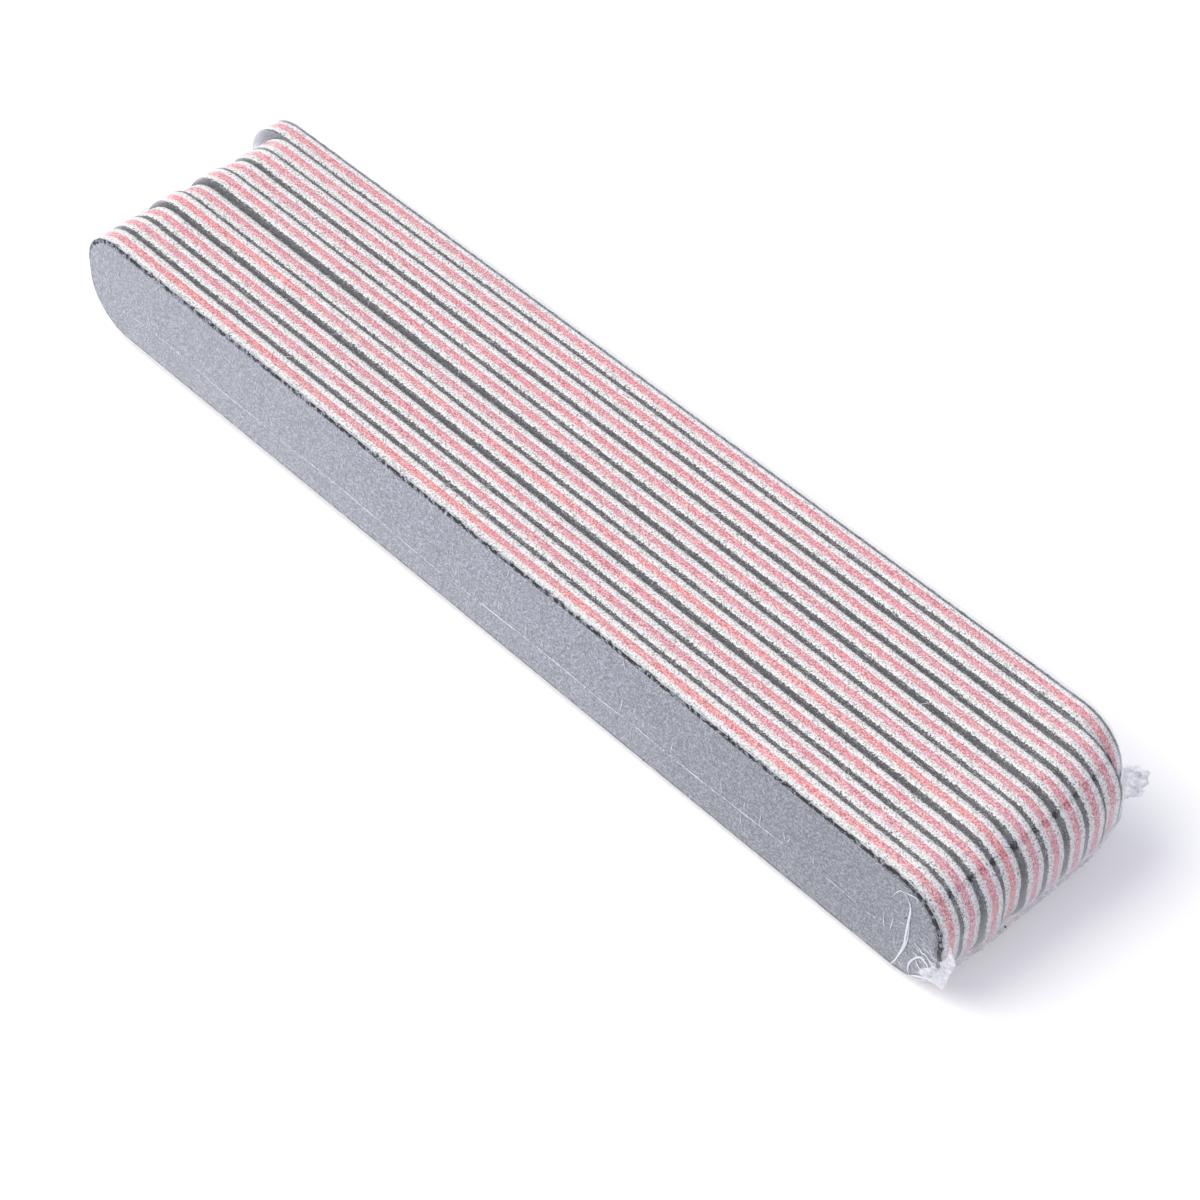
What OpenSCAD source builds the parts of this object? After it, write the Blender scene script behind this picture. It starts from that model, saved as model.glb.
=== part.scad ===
// Shrink-wrapped pack of ten double-sided emery boards, standing on their long edges.
// Millimetres. +X runs along the boards to the end with the film tails, +Z is up,
// and the front board faces -Y. The origin is the centre of the pack's underside.

/* [Board] */
// Length of one board from tip to tip
board_l = 178; // [120:1:200]
// Width of one board, which is its height as it stands on edge
board_w = 19; // [15:0.5:26]
// Radius of the four rounded corners, held to just under half the width
corner_r = 8; // [3:0.25:12]

/* [Layers] */
// Thickness of the abrasive sheet glued to each face
grit_t = 0.3; // [0.2:0.05:0.5]
// Thickness of each white foam cushion
foam_t = 1.0; // [0.6:0.1:2]
// Thickness of the stiff pink core in the middle
core_t = 1.2; // [0.6:0.1:2.5]

/* [Stack] */
// Air gap between one board and the next
board_gap = 0.08; // [0.02:0.01:0.2]
// How far the boards stray from a squared-up stack, 0 for none
stray = 1; // [0:0.1:1.5]

/* [Film] */
// Thickness of the shrunk film
film_t = 0.1; // [0.05:0.01:0.2]
// Room left between the boards and the film
film_clear = 0.1; // [0.08:0.01:0.3]
// Thickness of a seal, where two plies of film are welded
seal_t = 0.25; // [0.2:0.05:0.5]
// Height of the long seal that runs along the front board
long_seal_z = 7; // [3:0.5:10]
// How far the long seal stands off the film
long_seal_out = 0.15; // [0.05:0.05:0.4]
// Height of the seal across each end
end_seal_z = 5; // [3.5:0.5:9]
// How far the trimmed seal stands out of the near end
near_seal_out = 0.8; // [0.3:0.1:2]
// How far it stands out of the far end
far_seal_out = 0.3; // [0.2:0.1:2]

/* [Tails] */
// How far the front tail of crumpled film reaches past the near end
front_tail_out = 1.8; // [1:0.1:3]
// Height of the front tail
front_tail_h = 7.5; // [3:0.5:9]
// Level of the front tail's lowest point
front_tail_z = 4; // [2:0.5:5]
// How far the back tail reaches from its corner
back_tail_out = 4; // [2:0.1:6]
// Height of the back tail
back_tail_h = 7; // [3:0.5:8]
// Level of the back tail's lowest point
back_tail_z = 7.5; // [5:0.5:9]
// How far the back tail is turned away from the boards, in degrees
back_tail_turn = 50; // [20:5:80]

/* [Hidden] */
$fn = 96;
hull_fn = 32;
board_n = 10;
last = board_n - 1;
// Straight left on each side of a board's centre line when the corners are at their largest
edge_keep = 0.1;
end_r = min(corner_r, board_w / 2 - edge_keep);
straight_l = board_l / 2 - end_r;
straight_w = board_w / 2 - end_r;
board_t = 2 * grit_t + 2 * foam_t + core_t;
pitch = board_t + board_gap;
pack_t = board_n * pitch - board_gap;
skin = film_clear + film_t;

// Each board's slip along the stack, first board at the front
slip = stray * [-0.2, -0.2, 0.3, -0.2, 0.3, 0.4, 0.6, 0.5, -0.2, -3.4];
// Rise of each top edge near the far end and near the near end, gauge_l apart
far_rise = stray * [0.5, 0.6, 0.6, 1.0, 0.55, 1.4, 0.95, 1.0, 0.5, 0];
near_rise = stray * [0.2, 0, 0, 0.4, 0.55, 0.45, 0.9, 1.1, 1.4, 1.4];
gauge_l = 130;

function tilt(i) = atan((near_rise[i] - far_rise[i]) / gauge_l);
function mid_rise(i) = (near_rise[i] + far_rise[i]) / 2;
function half_h(i) = straight_l * sin(abs(tilt(i))) + straight_w * cos(tilt(i)) + end_r;
function half_l(i) = straight_l * cos(tilt(i)) + straight_w * sin(abs(tilt(i))) + end_r;
function board_y(i) = i * pitch - pack_t / 2;
function near_end(i) = slip[i] + half_l(i) + skin;
function far_end(i) = slip[i] - half_l(i) - skin;

// The lowest corner of the lowest board rests on the film
seat_z = skin - min([for (i = [0 : last]) mid_rise(i) - half_h(i)]);
front_y = -pack_t / 2 - skin;

// The trimmed edge of the near seal waves in and out from board to board, in degrees a board
wave_step = 97;
wave_mean = 0.65;
wave_swing = 0.35;

// The tails and seals are the pack's extremes, so they set its centre
near_reach = max(near_end(0) + front_tail_out, max([for (i = [0 : last]) near_end(i) + wave(i)]));
far_reach = far_end(last) - far_seal_out;
back_reach = -front_y + back_tail_out * sin(back_tail_turn) + seal_t * cos(back_tail_turn);
centre_x = (near_reach + far_reach) / 2;
centre_y = (front_y - long_seal_out + back_reach) / 2;

// Flat underside of the film, short of the rounded ends and edges
foot_l = 1.8 * straight_l;
foot_in = board_t / 4;
foot_h = film_t / 2;
// How far seals and tails run back into the film
seal_root = end_r / 2;

grit_grey = [0.60, 0.63, 0.68];
foam_white = [0.94, 0.92, 0.91];
core_pink = [0.93, 0.60, 0.62];
film_clear_tint = [0.90, 0.92, 0.96, 0.3];

// Rounded outline of a board, centred, with room added all round
module outline(grow = 0) {
    square([2 * straight_l, board_w + 2 * grow], center = true);
    square([board_l + 2 * grow, 2 * straight_w], center = true);
    for (x = [-straight_l, straight_l], z = [-straight_w, straight_w])
        translate([x, z])
            circle(end_r + grow);
}

// Puts a part of board i, drawn flat, in its place in the stack
module seat(i) {
    translate([slip[i] - centre_x, -centre_y, seat_z + mid_rise(i)])
        rotate([0, -tilt(i), 0])
            children();
}

// A slab of board i that starts at depth behind its front face
module slab(i, depth, thick, grow = 0) {
    seat(i)
        translate([0, board_y(i) + depth + thick, 0])
            rotate([90, 0, 0])
                linear_extrude(thick)
                    outline(grow);
}

module front_grit(i) {
    color(grit_grey)
        slab(i, 0, grit_t);
}

module front_foam(i) {
    color(foam_white)
        slab(i, grit_t, foam_t);
}

module core(i) {
    color(core_pink)
        slab(i, grit_t + foam_t, core_t);
}

module back_foam(i) {
    color(foam_white)
        slab(i, grit_t + foam_t + core_t, foam_t);
}

module back_grit(i) {
    color(grit_grey)
        slab(i, board_t - grit_t, grit_t);
}

// Film pulled tight round a run of boards, with a flat underside that stands level
module tight_run(first, final, grow, foot_z) {
    hull() {
        for (i = [first : final])
            slab(i, -grow, board_t + 2 * grow, grow, $fn = hull_fn);
        translate([-foot_l / 2, board_y(first) + foot_in - centre_y, foot_z])
            cube([foot_l, (final - first) * pitch + board_t - 2 * foot_in, foot_h]);
    }
}

// The last board has slipped, so the film steps out to it from the board before
module tight_skin(grow, foot_z) {
    tight_run(0, last - 1, grow, foot_z);
    tight_run(last - 1, last, grow, foot_z);
}

// How far the trimmed edge waves out at board i
function wave(i) = near_seal_out * (wave_mean + wave_swing * sin(i * wave_step));

// Wavy trimmed seal across the near end, between the two tails
module near_seal() {
    inner_x = near_end(last) - seal_root;
    translate([-centre_x, -centre_y, end_seal_z])
        linear_extrude(seal_t)
            polygon(concat(
                [[inner_x, -front_y - skin], [inner_x, front_y + skin]],
                [for (i = [0 : last]) [near_end(i) + wave(i), board_y(i) + board_t / 2]]
            ));
}

// Straight seal across the far end, with a slant out to the last board
module far_seal() {
    inner_x = far_end(0) + seal_root;
    run_x = min([for (i = [0 : last - 1]) far_end(i)]) - far_seal_out;
    translate([-centre_x, -centre_y, end_seal_z])
        linear_extrude(seal_t)
            polygon([
                [inner_x, front_y + skin],
                [run_x, front_y + skin],
                [run_x, board_y(last - 1)],
                [far_end(last) - far_seal_out, board_y(last)],
                [far_end(last) - far_seal_out, -front_y - skin],
                [inner_x, -front_y - skin]
            ]);
}

module long_seal() {
    translate([-straight_l - centre_x, front_y - long_seal_out - centre_y, long_seal_z])
        cube([2 * straight_l, long_seal_out + film_t, seal_t]);
}

// Crumpled tail of film, flat in a plane that turns away from the front
module tail(reach, high, turn) {
    rotate([0, 0, turn])
        translate([0, seal_t, 0])
            rotate([90, 0, 0])
                linear_extrude(seal_t)
                    polygon([
                        [-seal_root, 0.1 * high],
                        [0.7 * reach, 0],
                        [reach, 0.3 * high],
                        [0.6 * reach, 0.45 * high],
                        [0.9 * reach, 0.7 * high],
                        [0.2 * reach, high],
                        [-seal_root, 0.9 * high]
                    ]);
}

module front_tail() {
    translate([near_end(0) - centre_x, front_y - centre_y, front_tail_z])
        tail(front_tail_out, front_tail_h, 0);
}

// Starts just inside the back corner, where the last board's end begins to curve
module back_tail() {
    translate([near_end(last) - skin - centre_x, -front_y - centre_y, back_tail_z])
        tail(back_tail_out, back_tail_h, back_tail_turn);
}

module film_wrap() {
    color(film_clear_tint)
        difference() {
            union() {
                tight_skin(skin, 0);
                near_seal();
                far_seal();
                long_seal();
                front_tail();
                back_tail();
            }
            tight_skin(film_clear, film_t);
        }
}

front_grit(0);  // board_01_front_grit
front_foam(0);  // board_01_front_foam
core(0);  // board_01_core
back_foam(0);  // board_01_back_foam
back_grit(0);  // board_01_back_grit
front_grit(1);  // board_02_front_grit
front_foam(1);  // board_02_front_foam
core(1);  // board_02_core
back_foam(1);  // board_02_back_foam
back_grit(1);  // board_02_back_grit
front_grit(2);  // board_03_front_grit
front_foam(2);  // board_03_front_foam
core(2);  // board_03_core
back_foam(2);  // board_03_back_foam
back_grit(2);  // board_03_back_grit
front_grit(3);  // board_04_front_grit
front_foam(3);  // board_04_front_foam
core(3);  // board_04_core
back_foam(3);  // board_04_back_foam
back_grit(3);  // board_04_back_grit
front_grit(4);  // board_05_front_grit
front_foam(4);  // board_05_front_foam
core(4);  // board_05_core
back_foam(4);  // board_05_back_foam
back_grit(4);  // board_05_back_grit
front_grit(5);  // board_06_front_grit
front_foam(5);  // board_06_front_foam
core(5);  // board_06_core
back_foam(5);  // board_06_back_foam
back_grit(5);  // board_06_back_grit
front_grit(6);  // board_07_front_grit
front_foam(6);  // board_07_front_foam
core(6);  // board_07_core
back_foam(6);  // board_07_back_foam
back_grit(6);  // board_07_back_grit
front_grit(7);  // board_08_front_grit
front_foam(7);  // board_08_front_foam
core(7);  // board_08_core
back_foam(7);  // board_08_back_foam
back_grit(7);  // board_08_back_grit
front_grit(8);  // board_09_front_grit
front_foam(8);  // board_09_front_foam
core(8);  // board_09_core
back_foam(8);  // board_09_back_foam
back_grit(8);  // board_09_back_grit
front_grit(9);  // board_10_front_grit
front_foam(9);  // board_10_front_foam
core(9);  // board_10_core
back_foam(9);  // board_10_back_foam
back_grit(9);  // board_10_back_grit
film_wrap();
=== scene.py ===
import math
import random

import bmesh
import bpy
from mathutils import Matrix, Vector, noise
from mathutils.bvhtree import BVHTree


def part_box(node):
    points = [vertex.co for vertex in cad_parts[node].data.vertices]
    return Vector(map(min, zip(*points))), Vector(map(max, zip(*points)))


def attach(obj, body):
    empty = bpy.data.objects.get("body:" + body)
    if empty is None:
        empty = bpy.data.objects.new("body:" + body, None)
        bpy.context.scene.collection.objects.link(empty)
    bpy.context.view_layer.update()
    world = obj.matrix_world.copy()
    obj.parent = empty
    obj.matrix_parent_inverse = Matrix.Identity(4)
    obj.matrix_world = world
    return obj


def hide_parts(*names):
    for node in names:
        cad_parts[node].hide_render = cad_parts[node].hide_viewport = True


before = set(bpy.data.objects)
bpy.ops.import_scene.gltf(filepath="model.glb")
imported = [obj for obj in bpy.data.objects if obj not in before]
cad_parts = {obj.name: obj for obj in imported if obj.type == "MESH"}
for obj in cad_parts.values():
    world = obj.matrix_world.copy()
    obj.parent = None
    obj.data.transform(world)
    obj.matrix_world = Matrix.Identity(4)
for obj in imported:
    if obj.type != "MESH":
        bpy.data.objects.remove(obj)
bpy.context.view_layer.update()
mm = 0.001
tiny = 1e-7  # metres: two points closer than this are one
print("stage: frame loaded with", len(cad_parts), "nodes")


# places read from the frame

stack = {
    "boards": 10,
    "length": 178 * mm,
    "width": 19 * mm,
    "cornerRadius": 8 * mm,
    "filmStandOff": 0.16 * mm,  # from the boards to the film that is shown
    "nearRound": (70 * mm, 84 * mm),  # x where looks change from the straight run to the near end
}
stack["frontY"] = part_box("board_01_front_grit")[0].y
stack["pitch"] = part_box("board_02_front_grit")[0].y - stack["frontY"]
stack["backY"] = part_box("board_10_back_grit")[1].y


def boardPlace(number):  # centre and lean of a board, from the points of its core
    node = "board_%02d_core" % number
    low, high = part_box(node)
    centre = (low + high) / 2
    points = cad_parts[node].data.vertices
    spots = {tuple(round(c, 6) for c in v.co - centre) for v in points}  # each place counts once
    sumXX = sum(s[0] * s[0] for s in spots)
    sumZZ = sum(s[2] * s[2] for s in spots)
    sumXZ = sum(s[0] * s[2] for s in spots)
    return centre, 0.5 * math.atan2(2 * sumXZ, sumXX - sumZZ)


places = {number: boardPlace(number) for number in range(1, stack["boards"] + 1)}


# small helpers for meshes and objects

def vertsOf(made):
    return [g for g in made["geom"] if isinstance(g, bmesh.types.BMVert)]


def edgesOf(made):
    return [g for g in made["geom"] if isinstance(g, bmesh.types.BMEdge)]


def clamp(value):
    return max(0.0, min(1.0, value))


def addObject(name, data):
    thing = bpy.data.objects.new(name, data)
    bpy.context.scene.collection.objects.link(thing)
    return thing


def meshFrom(name, bm):
    mesh = bpy.data.meshes.new(name)
    bm.to_mesh(mesh)
    bm.free()
    return mesh


def evaluatedMesh(thing):  # the mesh that an object shows, with the object removed
    mesh = bpy.data.meshes.new_from_object(thing.evaluated_get(bpy.context.evaluated_depsgraph_get()))
    bm = bmesh.new()
    bm.from_mesh(mesh)
    bpy.data.objects.remove(thing)
    bpy.data.meshes.remove(mesh)
    return bm


# shader helpers

def feed(tree, socket, value):  # a link from another node, or a plain value
    if isinstance(value, bpy.types.NodeSocket):
        tree.links.new(value, socket)
    else:
        socket.default_value = value


def newNode(tree, kind, settings=None, **values):  # in0, in1 and so on stand for a socket's number
    node = tree.nodes.new(kind)
    for name, value in (settings or {}).items():
        setattr(node, name, value)
    for name, value in values.items():
        feed(tree, node.inputs[int(name[2:]) if name.startswith("in") else name], value)
    return node


def newGroup(name, inputs, outputs):
    group = bpy.data.node_groups.new(name, "ShaderNodeTree")
    for label, kind, start in inputs:
        socket = group.interface.new_socket(label, in_out="INPUT", socket_type=kind)
        if start is not None:
            socket.default_value = start
    for label, kind in outputs:
        group.interface.new_socket(label, in_out="OUTPUT", socket_type=kind)
    return group, group.nodes.new("NodeGroupInput"), group.nodes.new("NodeGroupOutput")


def doMath(tree, operation, first, second=0.0, third=0.0):
    settings = {"operation": operation}
    return newNode(tree, "ShaderNodeMath", settings, in0=first, in1=second, in2=third).outputs[0]


def ramp(tree, value, low, high, toLow=0.0, toHigh=1.0):  # smooth step from low to high
    settings = {"interpolation_type": "SMOOTHSTEP"}
    node = newNode(tree, "ShaderNodeMapRange", settings, in0=value, in1=low, in2=high, in3=toLow, in4=toHigh)
    return node.outputs[0]


def between(tree, value, riseFrom, riseTo, fallFrom, fallTo):  # 1 from the rise to the fall, 0 outside them
    return doMath(tree, "MULTIPLY", ramp(tree, value, riseFrom, riseTo), ramp(tree, value, fallTo, fallFrom))


def mixColour(tree, factor, first, second):
    node = newNode(tree, "ShaderNodeMix", {"data_type": "RGBA"}, in0=factor, in6=first, in7=second)
    return node.outputs[2]


def cloudy(tree, point, scale, detail):
    return newNode(tree, "ShaderNodeTexNoise", Vector=point, Scale=scale, Detail=detail).outputs[0]


def splitPoint(tree, point):
    return newNode(tree, "ShaderNodeSeparateXYZ", Vector=point).outputs


speckShape = {
    "detail": 2.0,
    "roughness": 0.6,
    "spread": (0.25, 0.75),  # the part of the noise's range that is stretched to the full range
}


def makeSpeckGroup():  # scattered specks of one size, as a mask
    group, begin, end = newGroup(
        "specks",
        [
            ("Point", "NodeSocketVector", None), ("Size", "NodeSocketFloat", 0.3),
            ("Amount", "NodeSocketFloat", 0.4), ("Softness", "NodeSocketFloat", 0.08),
        ],
        [("Mask", "NodeSocketFloat")],
    )
    perMetre = doMath(group, "DIVIDE", 1 / mm, begin.outputs["Size"])
    grain = newNode(
        group, "ShaderNodeTexNoise", Vector=begin.outputs["Point"], Scale=perMetre,
        Detail=speckShape["detail"], Roughness=speckShape["roughness"],
    )
    cut = doMath(group, "SUBTRACT", 1.0, begin.outputs["Amount"])
    lowCut = doMath(group, "SUBTRACT", cut, begin.outputs["Softness"])
    highCut = doMath(group, "ADD", cut, begin.outputs["Softness"])
    stretched = ramp(group, grain.outputs[0], *speckShape["spread"])
    group.links.new(ramp(group, stretched, lowCut, highCut), end.inputs["Mask"])
    return group


def makeAcrossGroup():  # millimetres from the middle plane of the board that a point is in
    group, begin, end = newGroup(
        "acrossBoard", [("Point", "NodeSocketVector", None)], [("Distance", "NodeSocketFloat")],
    )
    depth = doMath(group, "SUBTRACT", splitPoint(group, begin.outputs["Point"])[1], stack["frontY"])
    turns = doMath(group, "FRACT", doMath(group, "DIVIDE", depth, stack["pitch"]))
    away = doMath(group, "ABSOLUTE", doMath(group, "SUBTRACT", turns, 0.5))
    group.links.new(doMath(group, "MULTIPLY", away, stack["pitch"] / mm), end.inputs["Distance"])
    return group


specks = makeSpeckGroup()
acrossBoard = makeAcrossGroup()


def speckMask(tree, point, size, amount, softness):  # size in millimetres, amount as the share covered
    node = newNode(
        tree, "ShaderNodeGroup", {"node_tree": specks},
        Point=point, Size=size, Amount=amount, Softness=softness,
    )
    return node.outputs["Mask"]


def distanceAcross(tree, point):
    return newNode(tree, "ShaderNodeGroup", {"node_tree": acrossBoard}, Point=point).outputs["Distance"]


def startMaterial(name):
    material = bpy.data.materials.new(name)
    material.use_nodes = True
    tree = material.node_tree
    return material, tree, tree.nodes["Principled BSDF"]


def addSurface(tree, shader, point, colour, look):  # colour, roughness and fine bump of a dry material
    tree.links.new(colour, shader.inputs["Base Color"])
    shader.inputs["Roughness"].default_value = look["roughness"]
    scale, strength, height = look["bump"]
    rough = cloudy(tree, point, scale, 2.0)
    bump = newNode(tree, "ShaderNodeBump", Strength=strength, Distance=height, Height=rough)
    tree.links.new(bump.outputs[0], shader.inputs["Normal"])


# abrasive sheet: blue-grey grit, darker where it is cut; painted shade towards the near end, on the inner
# sheets and partly in the rim chain; painted highlights in glints and a rim line
# specks are given as size in millimetres, share covered and softness, bumps as scale, strength and height

gritLook = {
    "face": (0.27, 0.295, 0.352, 1),
    "valley": (0.108, 0.119, 0.146, 1),
    "valleySpecks": (0.28, 0.50, 0.14),
    # painted highlight: pale glint specks in the face colour stand for the sparkle of the grains
    "paintedGlint": (0.52, 0.55, 0.62, 1),
    "paintedGlintSpecks": (0.27, 0.30, 0.07),
    "nearDim": 0.30,  # painted shade: how much darker the face is painted towards its near end, where less light falls
    "dimSpan": (0.0, 90 * mm),
    "cut": (0.022, 0.023, 0.025, 1),
    "cutPale": (0.28, 0.28, 0.28, 1),
    "cutSpecks": (0.30, 0.34, 0.08),
    "cutTurn": (0.35, 0.97),  # how squarely a spot looks forward: all cut edge, all face
    "rimBlackAndShade": (0.008, 0.008, 0.010, 1),
    "chainBand": (0.10, 0.36, 0.84, 0.90),  # where the chain of black grit and painted shade lies in the rim attribute
    "chainSpecks": (0.70, 0.58, 0.05),
    "chainNear": 0.06,  # how much fuller the chain is at the near end
    # painted highlight: a pale line along the rim, for the shine at the film's edge
    "rimPale": (0.62, 0.63, 0.64, 1),
    "paleBand": (0.84, 0.90, 0.96, 1.0),
    "paleSpecks": (1.0, 0.70, 0.10),
    "insidePaintedShade": 0.72,  # painted shade: the sheets between boards are darkened towards the cut colour, as if shadowed in the grooves where only slivers show
    "roughness": 0.72,
    "bump": (4200.0, 0.5, 0.08 * mm),
}


def makeGrit(name, shade):
    material, tree, shader = startMaterial(name)
    coords = newNode(tree, "ShaderNodeTexCoord")
    point = coords.outputs["Object"]
    along = splitPoint(tree, point)[0]
    facing = doMath(tree, "ABSOLUTE", splitPoint(tree, coords.outputs["Normal"])[1])
    valleys = speckMask(tree, point, *gritLook["valleySpecks"])
    face = mixColour(tree, valleys, gritLook["face"], gritLook["valley"])
    # painted highlight: pale glint specks on the face
    face = mixColour(tree, speckMask(tree, point, *gritLook["paintedGlintSpecks"]), face, gritLook["paintedGlint"])
    # painted shade: the face is darkened towards its near end, where less light falls on it
    dim = ramp(tree, along, *gritLook["dimSpan"], 0.0, gritLook["nearDim"])
    face = mixColour(tree, dim, face, gritLook["cut"])
    # painted shade: on the inner sheets the face is darkened towards the cut colour
    face = mixColour(tree, shade, face, gritLook["cut"])
    cutMask = speckMask(tree, point, *gritLook["cutSpecks"])
    cut = mixColour(tree, cutMask, gritLook["cut"], gritLook["cutPale"])
    colour = mixColour(tree, ramp(tree, facing, *gritLook["cutTurn"]), cut, face)
    # a chain of black specks at the rolled rim: partly black grit, partly painted shade of the rolled edge
    rim = newNode(tree, "ShaderNodeAttribute", {"attribute_name": "rim"}).outputs["Fac"]
    size, share, softness = gritLook["chainSpecks"]
    share = doMath(tree, "MULTIPLY_ADD", ramp(tree, along, *stack["nearRound"]), gritLook["chainNear"], share)
    amount = doMath(tree, "MULTIPLY", between(tree, rim, *gritLook["chainBand"]), share)
    colour = mixColour(tree, speckMask(tree, point, size, amount, softness), colour, gritLook["rimBlackAndShade"])
    # painted highlight: a pale line of specks near the rim's edge
    paintedHighlightSpecks = speckMask(tree, point, *gritLook["paleSpecks"])
    pale = doMath(tree, "MULTIPLY", between(tree, rim, *gritLook["paleBand"]), paintedHighlightSpecks)
    colour = mixColour(tree, pale, colour, gritLook["rimPale"])
    addSurface(tree, shader, point, colour, gritLook)
    return material


# foam: off-white die-cut edge with fine cells, dusted with grit beside the abrasive

foamLook = {
    "body": (0.90, 0.885, 0.865, 1),
    "cell": (0.50, 0.48, 0.47, 1),
    "cellSpecks": (0.28, 0.36, 0.10),
    "dust": (0.05, 0.05, 0.055, 1),
    "dustSpan": (1.32, 1.64),  # millimetres from the board's middle plane
    "dustShare": (0.10, 0.56),  # at the start and at the end of that span
    "dustSize": 0.32,
    "dustSoftness": 0.06,
    "roughness": 0.85,
    "bump": (3600.0, 0.6, 0.1 * mm),
}


def makeFoam():
    material, tree, shader = startMaterial("cushionFoam")
    point = newNode(tree, "ShaderNodeTexCoord").outputs["Object"]
    cells = speckMask(tree, point, *foamLook["cellSpecks"])
    colour = mixColour(tree, cells, foamLook["body"], foamLook["cell"])
    share = ramp(tree, distanceAcross(tree, point), *foamLook["dustSpan"], *foamLook["dustShare"])
    dust = speckMask(tree, point, foamLook["dustSize"], share, foamLook["dustSoftness"])
    addSurface(tree, shader, point, mixColour(tree, dust, colour, foamLook["dust"]), foamLook)
    return material


# core: pink board, each one dyed a little differently

coreLook = {
    "pink": (0.80, 0.30, 0.335, 1),
    "salmon": (0.85, 0.31, 0.30, 1),
    "rose": (0.76, 0.32, 0.37, 1),
    "tints": {1: "salmon", 2: "rose", 4: "salmon", 5: "rose"},  # by board, the others are pink
    "faded": (0.66, 0.36, 0.41, 1),
    "fadedPatches": (55.0, 2.0),  # scale and detail
    "fadedSpan": (0.42, 0.66),
    "fadedMost": 0.6,
    "pale": (0.95, 0.66, 0.65, 1),
    "paleSpecks": (0.30, 0.34, 0.08),
    "deep": (0.48, 0.11, 0.13, 1),
    "deepSpecks": (0.27, 0.34, 0.06),
    "fraySpan": (0.45, 0.62),  # white fibres, millimetres from the board's middle plane
    "frayShare": (0.0, 0.42),
    "fraySize": 0.34,
    "fraySoftness": 0.08,
    "roughness": 0.75,
    "bump": (3200.0, 0.5, 0.1 * mm),
}


def makeCore(tint):
    material, tree, shader = startMaterial("core" + tint.capitalize())
    point = newNode(tree, "ShaderNodeTexCoord").outputs["Object"]
    patches = cloudy(tree, point, *coreLook["fadedPatches"])
    fade = ramp(tree, patches, *coreLook["fadedSpan"], 0.0, coreLook["fadedMost"])
    colour = mixColour(tree, fade, coreLook[tint], coreLook["faded"])
    colour = mixColour(tree, speckMask(tree, point, *coreLook["paleSpecks"]), colour, coreLook["pale"])
    colour = mixColour(tree, speckMask(tree, point, *coreLook["deepSpecks"]), colour, coreLook["deep"])
    share = ramp(tree, distanceAcross(tree, point), *coreLook["fraySpan"], *coreLook["frayShare"])
    fray = speckMask(tree, point, coreLook["fraySize"], share, coreLook["fraySoftness"])
    addSurface(tree, shader, point, mixColour(tree, fray, colour, foamLook["body"]), coreLook)
    return material


grit = makeGrit("abrasiveGrit", 0.0)
# darker copy of the grit, with painted shade, for the sheets between boards
gritWithPaintedShade = makeGrit("abrasiveGritInside", gritLook["insidePaintedShade"])
foam = makeFoam()
cores = {tint: makeCore(tint) for tint in ("pink", "salmon", "rose")}
print("stage: board materials made")


# layers of a board

layerShape = {
    "arcSteps": 26,
    "edgeStep": 0.5 * mm,
    "endCuts": 4,
    "grain": 0.035 * mm,  # how rough the die left each cut edge
    "grainSize": 0.35 * mm,
    "sway": 0.03 * mm,  # slow wander of the cut
    "swaySize": 6 * mm,
    "smoothAngle": math.radians(50),
}

# how far each cut edge stands out, in millimetres, from the front of the layer to its back
edgeProfiles = {
    "front_grit": ((0, -0.06), (1, 0.0)),
    "front_foam": ((0, -0.10), (0.3, 0.01), (0.7, 0.03), (1, -0.06)),
    "core": ((0, -0.05), (0.25, 0.02), (0.75, 0.02), (1, -0.05)),
    "back_foam": ((0, -0.06), (0.3, 0.03), (0.7, 0.01), (1, -0.10)),
    "back_grit": ((0, 0.0), (1, -0.06)),
}
sideCuts = {"front_grit": 1, "front_foam": 4, "core": 4, "back_foam": 4, "back_grit": 1}

# the outer sheets of the stack are rolled over by the pull of the film
rolledRim = {
    "rows": (  # depth and stand-out of each row in millimetres, and how far round the roll it lies
        (0.02, -0.62, 0.3), (0.06, -0.34, 0.6), (0.13, -0.14, 0.78), (0.24, -0.01, 0.92), (0.36, 0.0, 1.0),
    ),
    "faceInset": 1.0 * mm,
    "sheet": 0.24 * mm,
    "foamProfile": ((0, -0.40), (0.12, -0.40), (0.28, -0.05), (1, -0.06)),
}


def outlineFace(bm, inset=0.0, fine=True):  # one flat face with the board's rounded outline, facing -Y
    halfLength = stack["length"] / 2 - inset
    halfWidth = stack["width"] / 2 - inset
    radius = stack["cornerRadius"] - inset
    upright = Matrix.Rotation(math.pi / 2, 4, "X")
    bmesh.ops.create_grid(bm, x_segments=1, y_segments=1, size=1, matrix=upright)
    bmesh.ops.scale(bm, vec=(halfLength, 1, halfWidth), verts=bm.verts)
    bmesh.ops.bevel(
        bm, geom=bm.verts[:], offset=radius, offset_type="OFFSET", segments=layerShape["arcSteps"],
        profile=0.5, affect="VERTICES", material=-1,
    )
    if not fine:
        return
    longEdges = [e for e in bm.edges if e.calc_length() > stack["length"] / 2]
    cuts = int(longEdges[0].calc_length() / layerShape["edgeStep"])
    bmesh.ops.subdivide_edges(bm, edges=longEdges, cuts=cuts)
    endEdges = [e for e in bm.edges if e.calc_length() > 2 * layerShape["edgeStep"]]
    bmesh.ops.subdivide_edges(bm, edges=endEdges, cuts=layerShape["endCuts"])


def outward(spot):  # direction away from the board's outline at a point of its edge
    straightX = stack["length"] / 2 - stack["cornerRadius"]
    straightZ = stack["width"] / 2 - stack["cornerRadius"]
    inner = Vector((max(-straightX, min(straightX, spot.x)), 0, max(-straightZ, min(straightZ, spot.z))))
    return (Vector((spot.x, 0, spot.z)) - inner).normalized()


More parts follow.
